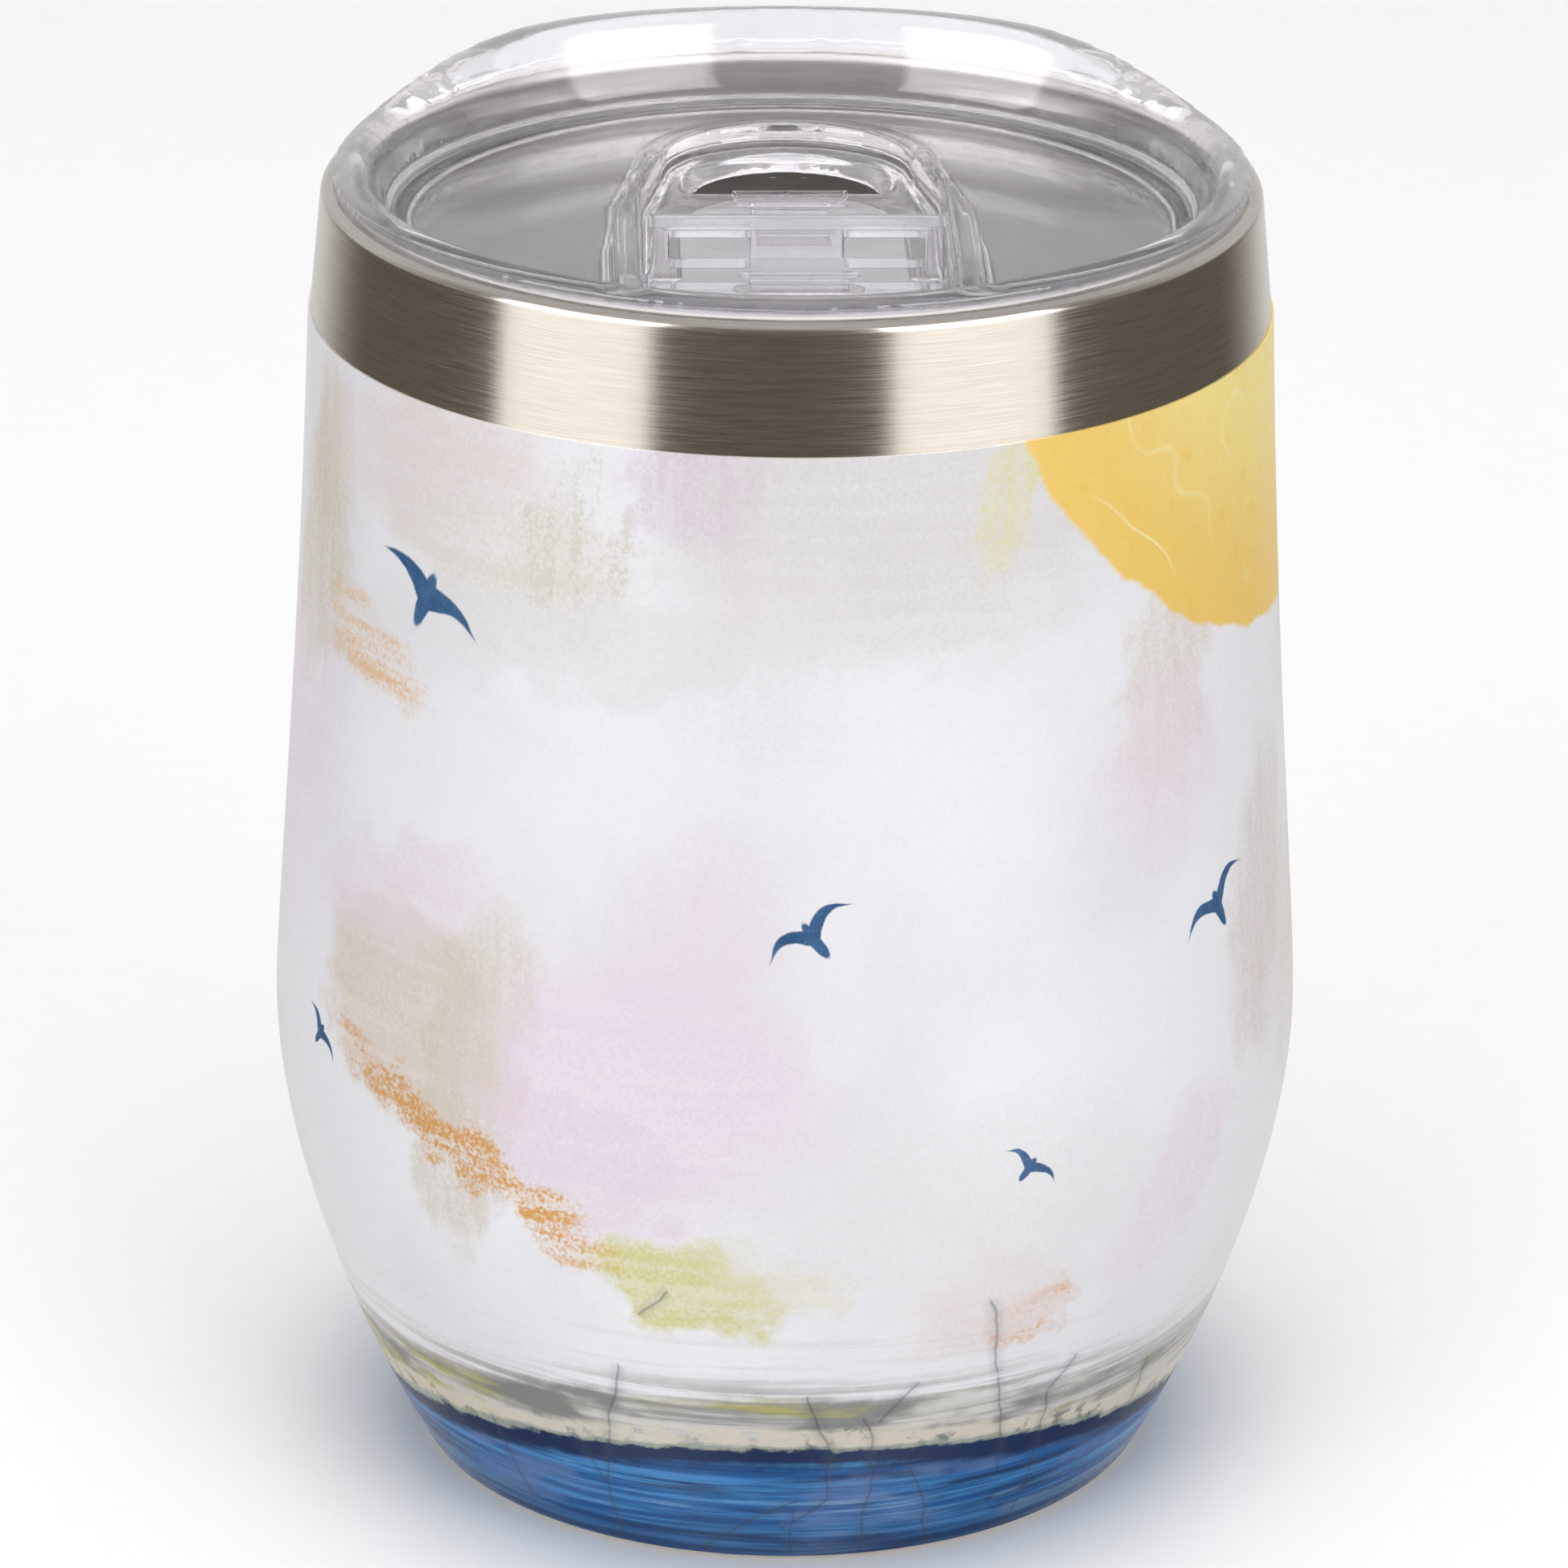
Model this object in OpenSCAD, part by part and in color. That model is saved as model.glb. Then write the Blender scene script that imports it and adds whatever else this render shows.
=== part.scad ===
// Stemless vacuum-insulated tumbler with a clear press-in lid and a sliding closure.
// Millimetres, +Z up, origin at the centre of the foot. -Y is the front, +Y the drinking side.

/* [Cup] */
// Height of the cup from its foot to the steel lip
cup_h = 112; // [110:0.5:116]
// Outside radius of the steel at the foot
foot_r = 31.2; // [30.6:0.1:32]
// Outside radius of the steel at the widest place
belly_r = 43.5; // [43:0.1:44.4]
// Height of the widest place
belly_z = 40; // [36:1:44]
// Outside radius of the steel where the print ends
shoulder_r = 40.05; // [39.8:0.05:40.6]
// Height of the bare steel band under the lip
band_h = 10.8; // [9:0.2:13]
// Outside radius of the lip
lip_r = 39.1; // [39:0.1:39.6]
// Thickness of the outer steel sheet
sheet = 0.6; // [0.4:0.05:0.7]
// Thickness of the printed wrap
film = 0.2; // [0.1:0.05:0.3]

/* [Liner] */
// Inside radius of the straight mouth
mouth_r = 36.6; // [36.5:0.05:36.7]
// Inside radius of the liner at its widest
liner_r = 37.4; // [36.8:0.1:38]
// Height of the inside floor
liner_z = 10.5; // [10:0.5:14]
// Thickness of the liner sheet
liner_t = 0.5; // [0.4:0.05:0.6]

/* [Lid] */
// Radius of the rim that rests on the lip
rim_r = 38.3; // [38:0.05:38.4]
// Height of the rim above the lip at the front
rim_low = 1.5; // [1.2:0.1:2]
// Height of the rim above the lip on the drinking side
rim_high = 4.5; // [4:0.1:5.5]
// Depth of the recess floor below the lip
recess_d = 3.1; // [2.9:0.1:3.2]
// Thickness of the recess floor
floor_t = 2; // [1.6:0.1:2.2]
// Half width of the slide channel
channel_w = 12.6; // [12.5:0.05:12.8]
// Height of the rails beside the channel, measured from the lip
rail_top = 0; // [-0.4:0.1:0.4]
// Radius of the drinking hole at its top, where it is widest
hole_r = 9; // [8:0.1:9.1]

/* [Slider] */
// How far the slider stands forward of its closed place
slide_open = 14.3; // [13.3:0.1:14.3]
// Half width of the thumb bar
bar_w = 12; // [11.8:0.05:12.1]
// Height of the thumb bar above the lip
bar_top = 1; // [0.6:0.1:1.4]
// Radius of the tongue's round end
tongue_r = 9.5; // [9.2:0.1:9.7]

/* [Hidden] */
$fn = 128;
lip_z = cup_h;
print_z = cup_h - band_h;
seam_r = 37.85;
floor_z = lip_z - recess_d;
under_z = floor_z - floor_t;
channel_z = floor_z - 1.6;
tray_z = channel_z - 1.8;
skirt_z = lip_z - 8.2;
end_y = 14.5;
end_r = 10.6;
tongue_y = end_y + 0.3 - 14.3;
plate_z = channel_z + 0.1;
plate_t = 1.7;
bar_z = lip_z + bar_top;

function bez(a, b, c, d, t) =
    a * pow(1 - t, 3) + 3 * b * t * pow(1 - t, 2) + 3 * c * t * t * (1 - t) + d * pow(t, 3);
function curve(a, b, c, d, n, from = 0) = [for (i = [from:n]) bez(a, b, c, d, i / n)];
function arc(cx, cy, r, a0, a1, n, from = 0) =
    [for (i = [from:n]) let (a = a0 + (a1 - a0) * i / n) [cx + r * cos(a), cy + r * sin(a)]];
function along(p, i) = p[min(i + 1, len(p) - 1)] - p[max(i - 1, 0)];
function shifted(p, d) =
    [for (i = [0:len(p) - 1]) let (t = along(p, i)) p[i] + d * [-t[1], t[0]] / norm(t)];
function backward(p) = [for (i = [len(p) - 1:-1:0]) p[i]];

// Outside of the steel, from the foot ring up to the lip seam.
foot_arc = arc(foot_r - 1, 1.6, 1.6, -90, -29, 4);
bowl = curve(foot_arc[4], [35.34, 7.5], [belly_r, belly_z - 15.3], [belly_r, belly_z], 14, 1);
upper = curve([belly_r, belly_z], [belly_r, belly_z + 6.6], [shoulder_r + 1, print_z - 30],
              [shoulder_r, print_z], 12, 1);
lip_arc = arc(lip_r - 1, lip_z - 1, 1, 0, 90, 5);
steel = concat([[foot_r - 2.6, 0]], foot_arc, bowl, upper, lip_arc, [[seam_r, lip_z]]);

// Inside of the liner, from the middle of its floor up to the lip seam.
liner_bowl = curve([15, liner_z], [30, liner_z], [liner_r, 23], [liner_r, 44], 12);
liner_up = curve([liner_r, 44], [liner_r, 62], [mouth_r - 0.5, 84], [mouth_r - 0.4, lip_z - 14], 8, 1);
liner_lip = arc(mouth_r + 0.9, lip_z - 0.9, 0.9, 180, 90, 5);
liner = concat([[0, liner_z]], liner_bowl, liner_up, [[mouth_r, lip_z - 9]], liner_lip,
               [[seam_r, lip_z]]);
liner_back = shifted(liner, -liner_t);

// Formed outer wall with its foot ring folded in and its lip rolled over to the weld.
module outer_shell() {
    color([0.72, 0.71, 0.69])
    rotate_extrude() polygon(concat(steel, backward(shifted(steel, sheet))));
}

// Deep-drawn inner cup, welded to the outer wall all round the lip.
module inner_liner() {
    color([0.78, 0.78, 0.77])
    rotate_extrude() polygon(concat(liner, backward(liner_back)));
}

// Pressed closing plate, welded on the folded foot, with a dimple round the evacuation hole.
module outer_bottom() {
    color([0.66, 0.66, 0.65])
    rotate_extrude() polygon([
        [0.8, 4.4], [4, 4.4], [5.2, 2.4], [26.6, 2.4], [28, sheet + 0.02], [foot_r - 0.9, sheet + 0.02],
        [foot_r - 0.9, sheet + 0.6], [28.3, sheet + 0.6], [26.9, 3], [5.6, 3], [4.4, 5], [0.8, 5]]);
}

// Fused bead that closes the evacuation hole from below.
module seal_bead() {
    color([0.45, 0.42, 0.36])
    rotate_extrude() polygon(concat([[0, 4.38]], [[3.2, 4.38]], arc(0, 4.38, 3.2, 0, -90, 6, 1) * [[1, 0], [0, 0.4]]
        + [for (i = [1:6]) [0, 4.38 * 0.6]]));
}

// Spot-welded strap whose two fingers bend over the getter.
module getter_clip() {
    color([0.7, 0.7, 0.7])
    translate([13, 0, 3.02]) {
        translate([-6, -3, 0]) cube([12, 6, 0.4]);
        for (s = [-1, 1]) scale([s, 1, 1]) {
            translate([3.9, -1.5, 0]) cube([0.4, 3, 3.6]);
            translate([2.2, -1.5, 3.2]) cube([2.1, 3, 0.4]);
        }
    }
}

// Pressed gas-absorbing pellet kept in the vacuum space.
module getter_pellet() {
    color([0.35, 0.35, 0.37])
    translate([13, 0, 3.45]) cylinder(r = 3.7, h = 2.7);
}

// Thin heat-reflecting foil wound round the liner inside the vacuum space.
module radiation_foil() {
    color([0.85, 0.85, 0.86])
    rotate_extrude() intersection() {
        polygon(concat(shifted(liner, -liner_t - 0.2), backward(shifted(liner, -liner_t - 0.35))));
        translate([20, 20]) square([30, 74]);
    }
}

// Plain pan pressed and bonded under the closing plate.
module bottom_cover() {
    color([0.7, 0.7, 0.69])
    rotate_extrude() polygon([[0, 1], [25.9, 1], [26.4, 1.5], [26.4, 2.38], [25.8, 2.38], [25.8, 1.6], [0, 1.6]]);
}

// Printed film shrunk on the steel from the foot up to the bare band.
wrap_path = [for (i = [4:len(steel) - 8]) steel[i]];
module printed_wrap() {
    color([0.93, 0.93, 0.95])
    rotate_extrude() polygon(concat(shifted(wrap_path, -film), backward(wrap_path)));
}

// Soft ring in the lid's groove, with two lips that face the mouth.
module lid_gasket() {
    color([0.86, 0.87, 0.88, 0.6])
    translate([0, 0, lip_z]) rotate_extrude() polygon([
        [34.28, -6.7], [35.4, -6.7], [36.3, -6.5], [36.3, -6], [35.5, -5.8],
        [35.5, -5.3], [36.3, -5.1], [36.3, -4.6], [35.4, -4.3], [34.28, -4.3]]);
}

// Side view of the rim's top: low at the front, swept up to the drinking side.
rim_line = concat([[-50, lip_z + rim_low]],
    curve([10, lip_z + rim_low], [21, lip_z + rim_low + 0.2], [26, lip_z + rim_high],
          [31.5, lip_z + rim_high], 10),
    [[35, lip_z + rim_high - 0.05], [38, lip_z + rim_high - 0.3], [50, lip_z + rim_high - 0.3]]);

// Side view of the rails' top: level beside the slider, then a gentle fall to rounded ends.
rail_line = concat([[-50, lip_z - 1.6], [-31.5, lip_z - 1.6], [-29, lip_z - 0.5], [-27, lip_z + rail_top]],
    curve([-7, lip_z + rail_top], [-2, lip_z + rail_top], [4, lip_z - 0.9], [11.5, lip_z - 1.6], 5),
    curve([11.5, lip_z - 1.6], [14.5, lip_z - 1.9], [15, floor_z + 0.4], [18, floor_z + 0.3], 5, 1),
    [[50, floor_z + 0.3]]);

// Outer side of one rail in plan: parallel beside the slider, then drawn in to the round end.
rail_side = [[15, -12], [14.6, -8], [13.6, -1], [12.6, 7], [end_r + 1.6, end_y]];

module above(line, z) {
    rotate([90, 0, 90]) linear_extrude(120, center = true)
        polygon(concat(line, [[50, z], [-50, z]]));
}

module channel_plan(d = 0) {
    polygon([[-channel_w - d, -26.5 - d], [channel_w + d, -26.5 - d], [channel_w + d, 4],
             [end_r + d, end_y], [-end_r - d, end_y], [-channel_w - d, 4]]);
    translate([0, end_y]) circle(r = end_r + d);
}

module rail_plan() {
    difference() {
        union() {
            polygon(concat([[-15, -34], [15, -34]], rail_side, [for (i = [4:-1:0]) [-rail_side[i][0], rail_side[i][1]]]));
            translate([0, end_y]) circle(r = end_r + 1.6);
        }
        translate([-channel_w, -40]) square([2 * channel_w, 20]);
    }
}

module rim_and_floor() {
    rotate_extrude() polygon([
        [0, under_z], [32.6, under_z], [32.6, skirt_z], [35.5, skirt_z], [35.8, skirt_z + 0.4],
        [35.8, lip_z - 6.8], [34.2, lip_z - 6.8], [34.2, lip_z - 4.2], [35.9, lip_z - 4.2],
        [35.9, lip_z + 0.1], [rim_r, lip_z + 0.1], [rim_r, lip_z + 0.8], [rim_r - 0.3, lip_z + 1.3],
        [rim_r - 0.6, lip_z + rim_high - 0.7], [rim_r - 0.9, lip_z + rim_high - 0.2],
        [rim_r - 1.4, lip_z + rim_high + 0.1], [35.7, lip_z + rim_high - 0.2],
        [35.1, lip_z + rim_high - 0.9], [33.4, floor_z + 0.9], [32.7, floor_z + 0.2],
        [32.2, floor_z], [0, floor_z]]);
}

// Clear moulded lid: swept rim, sunk floor, plug skirt with its groove, rails and drinking hole.
module lid_body() {
    color([0.86, 0.88, 0.9, 0.35])
    difference() {
        union() {
            difference() {
                rim_and_floor();
                above(rim_line, 130);
            }
            translate([0, 0, tray_z]) linear_extrude(floor_z - 0.5 - tray_z) channel_plan(1.8);
            difference() {
                intersection() {
                    translate([0, 0, floor_z - 1]) linear_extrude(8) rail_plan();
                    translate([0, 0, floor_z - 1]) cylinder(r = 33.4, h = 8);
                }
                above(rail_line, 130);
            }
        }
        translate([0, 0, channel_z]) linear_extrude(20) channel_plan();
        for (s = [-1, 1]) translate([s * channel_w, -14, channel_z + 2.85])
            cube([1.4, 22, 1.4], center = true);
        intersection() {
            translate([0, end_y - 0.5, tray_z - 0.6]) cylinder(r1 = hole_r - 1.8, r2 = hole_r + 0.075, h = 2.5);
            translate([-10, 11.2, tray_z - 1]) cube([20, 20, 4]);
        }
    }
}

// Side view of one cheek of the thumb piece.
module cheek_side() {
    polygon([[-25, plate_z], [-13.2, plate_z], [-13.2, bar_z - 0.3], [-13.5, bar_z], [-17, bar_z],
             [-24.6, plate_z + 2.2], [-25, plate_z + 1.8]]);
}

// Clear moulded slider: tongue over the hole, thumb piece in front, wings in the rail grooves.
module slider() {
    shift = 14.3 - slide_open;
    color([0.84, 0.87, 0.9, 0.35])
    translate([0, shift, 0]) difference() {
        union() {
            translate([0, 0, plate_z]) linear_extrude(plate_t) {
                translate([-tongue_r, -20]) square([2 * tongue_r, 20 + tongue_y]);
                translate([0, tongue_y]) circle(r = tongue_r);
            }
            translate([-bar_w, -25, plate_z]) cube([2 * bar_w, 11.8, 1.8]);
            for (s = [-1, 1]) scale([s, 1, 1]) {
                translate([bar_w - 1.6, 0, 0]) rotate([90, 0, 90]) linear_extrude(1.6) cheek_side();
                translate([bar_w - 0.5, -24, channel_z + 2.3]) cube([1.55, 5.5, 1.1]);
            }
            translate([-bar_w + 1, -17.8, bar_z - 1.2]) cube([2 * bar_w - 2, 4.6, 1.2]);
            difference() {
                translate([-bar_w + 1, -20.5, plate_z + 1]) cube([2 * bar_w - 2, 4.4, bar_z - plate_z - 1]);
                translate([0, -23.9, bar_z + 0.4]) rotate([0, 90, 0]) cylinder(r = 6.12, h = 60, center = true);
            }
            translate([-3.8, -17, plate_z + 1]) cube([7.6, 3.8, bar_z - plate_z - 1.5]);
            translate([0, -21.5, plate_z + 1.5]) linear_extrude(1.5) {
                translate([-4, -1.1]) square([8, 2.2]);
                for (s = [-1, 1]) translate([4 * s, 0]) circle(r = 1.1);
            }
        }
        translate([-4.7, 4, plate_z + 0.7]) cube([9.4, 2.2, 4]);
        translate([-3.3, 0.8, plate_z + 0.7]) cube([6.6, 1.7, 4]);
    }
}

outer_shell();
inner_liner();
outer_bottom();
seal_bead();
getter_clip();
getter_pellet();
radiation_foil();
bottom_cover();
printed_wrap();
lid_gasket();
lid_body();
slider();
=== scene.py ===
import math

import bpy
from mathutils import Matrix, Vector


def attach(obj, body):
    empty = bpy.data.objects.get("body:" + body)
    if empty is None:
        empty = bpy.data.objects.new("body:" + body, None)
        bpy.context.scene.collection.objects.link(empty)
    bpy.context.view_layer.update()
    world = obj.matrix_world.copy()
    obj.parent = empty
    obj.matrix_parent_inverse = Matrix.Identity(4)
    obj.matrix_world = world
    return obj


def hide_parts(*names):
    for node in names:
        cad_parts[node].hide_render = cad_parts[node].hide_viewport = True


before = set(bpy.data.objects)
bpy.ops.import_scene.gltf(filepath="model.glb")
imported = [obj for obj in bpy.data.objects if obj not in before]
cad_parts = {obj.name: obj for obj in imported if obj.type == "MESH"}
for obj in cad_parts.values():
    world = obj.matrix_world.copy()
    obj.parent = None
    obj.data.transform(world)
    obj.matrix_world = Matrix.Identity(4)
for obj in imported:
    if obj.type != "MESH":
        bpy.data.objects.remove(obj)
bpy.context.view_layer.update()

MM = 0.001

# ---------------------------------------------------------------------------
# Outer wall: stainless sheet spun to shape, its foot folded in and its lip
# rolled over. Only the brushed band, the lip and the foot ring stay bare.
# ---------------------------------------------------------------------------

CUP_TOP = 112.0
PRINT_TOP = 101.2
SHEET = 0.6


def bezier(a, b, c, d, steps, first=0):
    """Points of (radius, height) along a curve from a to d that leaves towards b and arrives from c."""
    points = []
    for i in range(first, steps + 1):
        t = i / steps
        weights = ((1 - t) ** 3, 3 * t * (1 - t) ** 2, 3 * t * t * (1 - t), t ** 3)
        points.append(tuple(sum(w * p[k] for w, p in zip(weights, (a, b, c, d))) for k in (0, 1)))
    return points


def arc(centre, radius, start, stop, steps, first=0):
    """Points on a circle between two angles in degrees."""
    points = []
    for i in range(first, steps + 1):
        angle = math.radians(start + (stop - start) * i / steps)
        points.append((centre[0] + radius * math.cos(angle), centre[1] + radius * math.sin(angle)))
    return points


def shifted(path, distance):
    """The same path moved sideways, to the left of the way it runs."""
    moved = []
    for i, point in enumerate(path):
        before, after = path[max(i - 1, 0)], path[min(i + 1, len(path) - 1)]
        along = Vector((after[0] - before[0], after[1] - before[1])).normalized()
        moved.append((point[0] - distance * along.y, point[1] + distance * along.x))
    return moved


def turned(name, outline, around=192, sharp=35):
    """Raise a ring through the outline's (radius, height) points, as if turned on a wheel."""
    bpy.ops.object.select_all(action="DESELECT")
    radius, height = outline[0]
    bpy.ops.mesh.primitive_circle_add(vertices=around, radius=radius * MM, location=(0, 0, height * MM))
    piece = bpy.context.object
    piece.name = name
    bpy.ops.object.transform_apply(location=True, rotation=True, scale=True)
    bpy.ops.object.mode_set(mode="EDIT")
    bpy.ops.mesh.select_all(action="SELECT")
    for (r0, z0), (r1, z1) in zip(outline, outline[1:]):
        bpy.ops.mesh.extrude_edges_move(TRANSFORM_OT_translate={"value": (0, 0, (z1 - z0) * MM)})
        bpy.ops.transform.resize(value=(r1 / r0, r1 / r0, 1), center_override=(0, 0, z1 * MM))
    bpy.ops.mesh.select_all(action="SELECT")
    bpy.ops.mesh.remove_doubles(threshold=0.000005)
    bpy.ops.mesh.normals_make_consistent(inside=False)
    bpy.ops.object.mode_set(mode="OBJECT")
    bpy.ops.object.shade_smooth_by_angle(angle=math.radians(sharp))
    return piece


def material(name):
    """An empty node material with its shader and its object coordinates."""
    made = bpy.data.materials.new(name)
    made.use_nodes = True
    tree = made.node_tree
    tree.nodes.clear()
    output = tree.nodes.new("ShaderNodeOutputMaterial")
    shader = tree.nodes.new("ShaderNodeBsdfPrincipled")
    place = tree.nodes.new("ShaderNodeTexCoord")
    tree.links.new(shader.outputs[0], output.inputs[0])
    return made, tree, shader, place.outputs["Object"]


def feed(tree, socket, value):
    """Link an output to a socket, or write a plain value into it."""
    if isinstance(value, bpy.types.NodeSocket):
        tree.links.new(value, socket)
    else:
        socket.default_value = value


def work(tree, operation, *values, clamp=False):
    """One step of arithmetic on sockets or numbers."""
    step = tree.nodes.new("ShaderNodeMath")
    step.operation, step.use_clamp = operation, clamp
    for socket, value in zip(step.inputs, values):
        feed(tree, socket, value)
    return step.outputs[0]


def stretch(tree, vector, scale):
    """Coordinates multiplied by a scale along each axis."""
    step = tree.nodes.new("ShaderNodeMapping")
    step.inputs["Scale"].default_value = scale
    feed(tree, step.inputs["Vector"], vector)
    return step.outputs[0]


def noise(tree, vector, scale=1.0, detail=3.0, rough=0.5):
    """Cloudy noise from 0 to 1."""
    step = tree.nodes.new("ShaderNodeTexNoise")
    feed(tree, step.inputs["Vector"], vector)
    step.inputs["Scale"].default_value = scale
    step.inputs["Detail"].default_value = detail
    step.inputs["Roughness"].default_value = rough
    return step.outputs["Fac"]


def spread(tree, value, low, high, to_low=0.0, to_high=1.0, smooth=True):
    """A value brought from one range into another, held at its ends."""
    step = tree.nodes.new("ShaderNodeMapRange")
    step.interpolation_type = "SMOOTHSTEP" if smooth else "LINEAR"
    for socket, number in zip(step.inputs, (value, low, high, to_low, to_high)):
        feed(tree, socket, number)
    return step.outputs[0]


def tint(red, green, blue):
    """A colour as it is seen, from 0 to 255, turned into light."""
    seen = (red, green, blue)
    return tuple(((c / 255 + 0.055) / 1.055) ** 2.4 if c > 10 else c / 3295 for c in seen) + (1.0,)


def blend_colour(tree, factor, under, over, kind="MIX"):
    """One colour laid over another."""
    step = tree.nodes.new("ShaderNodeMix")
    step.data_type, step.blend_type = "RGBA", kind
    feed(tree, step.inputs[0], factor)
    feed(tree, step.inputs[6], under)
    feed(tree, step.inputs[7], over)
    return step.outputs[2]


def raised(tree, shader, height, depth, strength=1.0):
    """Fine relief on the surface, with its depth in metres."""
    step = tree.nodes.new("ShaderNodeBump")
    step.inputs["Strength"].default_value = strength
    step.inputs["Distance"].default_value = depth
    feed(tree, step.inputs["Height"], height)
    tree.links.new(step.outputs[0], shader.inputs["Normal"])


def brushed_steel(name, colour, low, high, lines=7000, depth=0.000004, metallic=1.0):
    """Stainless steel with brush lines that run round the cup."""
    made, tree, shader, place = material(name)
    streaks = noise(tree, stretch(tree, place, (170, 170, lines)), 1, 2, 0.7)
    patches = noise(tree, stretch(tree, place, (70, 70, 900)), 1, 4, 0.6)
    dull, duller = (tint(*[c * share for c in colour]) for share in (0.93, 0.9))
    worn = blend_colour(tree, spread(tree, streaks, 0.3, 0.7), dull, tint(*colour))
    worn = blend_colour(tree, spread(tree, patches, 0.4, 0.75, 0, 0.25), worn, duller)
    feed(tree, shader.inputs["Base Color"], worn)
    feed(tree, shader.inputs["Roughness"], spread(tree, streaks, 0.25, 0.75, low, high))
    shader.inputs["Metallic"].default_value = metallic
    raised(tree, shader, streaks, depth)
    return made


foot_arc = arc((30.2, 1.6), 1.6, -90, -29, 6)
bowl = bezier(foot_arc[-1], (35.34, 7.5), (43.5, 24.7), (43.5, 40), 36, 1)
upper_wall = bezier((43.5, 40), (43.5, 46.6), (41.05, 71.2), (40.05, PRINT_TOP), 30, 1)
lip_arc = arc((38.1, 111), 1.0, 0, 90, 8)
wall_path = [(28.6, 0)] + foot_arc + bowl + upper_wall + lip_arc + [(37.85, CUP_TOP)]

shell = turned("outer_wall", wall_path + shifted(wall_path, SHEET)[::-1] + wall_path[:1])
shell.data.materials.append(brushed_steel("band_steel", (210, 205, 197), 0.12, 0.2, 16000, 0.0000012))
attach(shell, "tumbler")
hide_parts("outer_shell")

# ---------------------------------------------------------------------------
# Printed wrap: a thin satin film shrunk on the wall from the foot to the
# band, printed all round with a loose seaside painting.
# ---------------------------------------------------------------------------

FILM = 0.2
ROUND_TO_MM = 41.5

wrap_path = [point for point in wall_path if 0.4 < point[1] <= PRINT_TOP + 0.001]
wrap_skin = shifted(wrap_path, -FILM)
wrap = turned("printed_film", wrap_path[:1] + wrap_skin + [wrap_path[-1]], around=256)
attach(wrap, "tumbler")
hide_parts("printed_wrap")


def seen_from(tree, surface, centre, turn, half):
    """How far the surface lies along and across a turned spot on it, measured in the spot's half widths."""
    cos, sin = math.cos(math.radians(turn)), math.sin(math.radians(turn))
    seen = []
    for x, y, width in ((cos, sin, half[0]), (-sin, cos, half[1])):
        step = tree.nodes.new("ShaderNodeVectorMath")
        step.operation = "DOT_PRODUCT"
        feed(tree, step.inputs[0], surface)
        step.inputs[1].default_value = (x / width, y / width, -(x * centre[0] + y * centre[1]) / width)
        seen.append(step.outputs["Value"])
    return seen


def wash(tree, surface, centre, turn, half, soft):
    """How much of an oval dab of paint lies on the surface: 1 in the middle, fading over its edge."""
    along, across = seen_from(tree, surface, centre, turn, half)
    squared = work(tree, "MULTIPLY_ADD", across, across, work(tree, "MULTIPLY", along, along))
    return spread(tree, squared, (1 + soft) ** 2, (1 - soft) ** 2)


def gull(tree, surface, centre, turn, half_span, droop):
    """A flying gull: two tapered wings that arch and droop, and a short body between them."""
    across, up = seen_from(tree, surface, centre, turn, (half_span, half_span))
    out = work(tree, "ABSOLUTE", across)
    arch = work(tree, "MULTIPLY", work(tree, "SINE", work(tree, "MULTIPLY", out, 2.9)), droop)
    thick = work(tree, "MULTIPLY", work(tree, "SUBTRACT", 1.0, out), 0.2)
    off = work(tree, "ABSOLUTE", work(tree, "SUBTRACT", up, arch))
    wings = work(tree, "SUBTRACT", thick, off)
    body_x = work(tree, "POWER", work(tree, "DIVIDE", across, 0.13), 2.0)
    body_y = work(tree, "POWER", work(tree, "DIVIDE", work(tree, "ADD", up, 0.05), 0.42), 2.0)
    body = work(tree, "MULTIPLY", work(tree, "SUBTRACT", 1.0, work(tree, "ADD", body_x, body_y)), 0.1)
    return spread(tree, work(tree, "MAXIMUM", wings, body), -0.015, 0.025)


film, tree, shader, place = material("printed_seaside")
split = tree.nodes.new("ShaderNodeSeparateXYZ")
feed(tree, split.inputs[0], place)
angle = work(tree, "ARCTAN2", split.outputs[0], work(tree, "MULTIPLY", split.outputs[1], -1.0))
high = work(tree, "MULTIPLY", split.outputs[2], 1000.0)
round_it = work(tree, "MULTIPLY", angle, ROUND_TO_MM)
flat = tree.nodes.new("ShaderNodeCombineXYZ")
for socket, value in zip(flat.inputs, (round_it, high, 1.0)):
    feed(tree, socket, value)

# The brush wanders: the flat picture is pushed about by soft and by fine noise.
wander = tree.nodes.new("ShaderNodeTexNoise")
wander.inputs["Scale"].default_value = 260
wander.inputs["Detail"].default_value = 5
feed(tree, wander.inputs["Vector"], place)
centred = tree.nodes.new("ShaderNodeVectorMath")
centred.operation = "SUBTRACT"
feed(tree, centred.inputs[0], wander.outputs["Color"])
centred.inputs[1].default_value = (0.5, 0.5, 0.5)


def pushed(amount):
    """The flat picture's coordinates, pushed about by up to about half the amount in millimetres."""
    moved = tree.nodes.new("ShaderNodeVectorMath")
    moved.operation = "MULTIPLY_ADD"
    feed(tree, moved.inputs[0], centred.outputs[0])
    moved.inputs[1].default_value = (amount, amount, 0)
    feed(tree, moved.inputs[2], flat.outputs[0])
    return moved.outputs[0]


loose, firm = pushed(9.0), pushed(2.0)
grain = noise(tree, place, 2600, 3, 0.6)
mottle = noise(tree, place, 420, 5, 0.65)
cloud = noise(tree, place, 34, 4, 0.55)
brush_down = noise(tree, stretch(tree, place, (900, 900, 70)), 1, 4, 0.65)
brush_round = noise(tree, stretch(tree, place, (45, 45, 700)), 1, 4, 0.6)

picture = blend_colour(tree, spread(tree, cloud, 0.42, 0.72), tint(237, 237, 240), tint(226, 225, 228))

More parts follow.
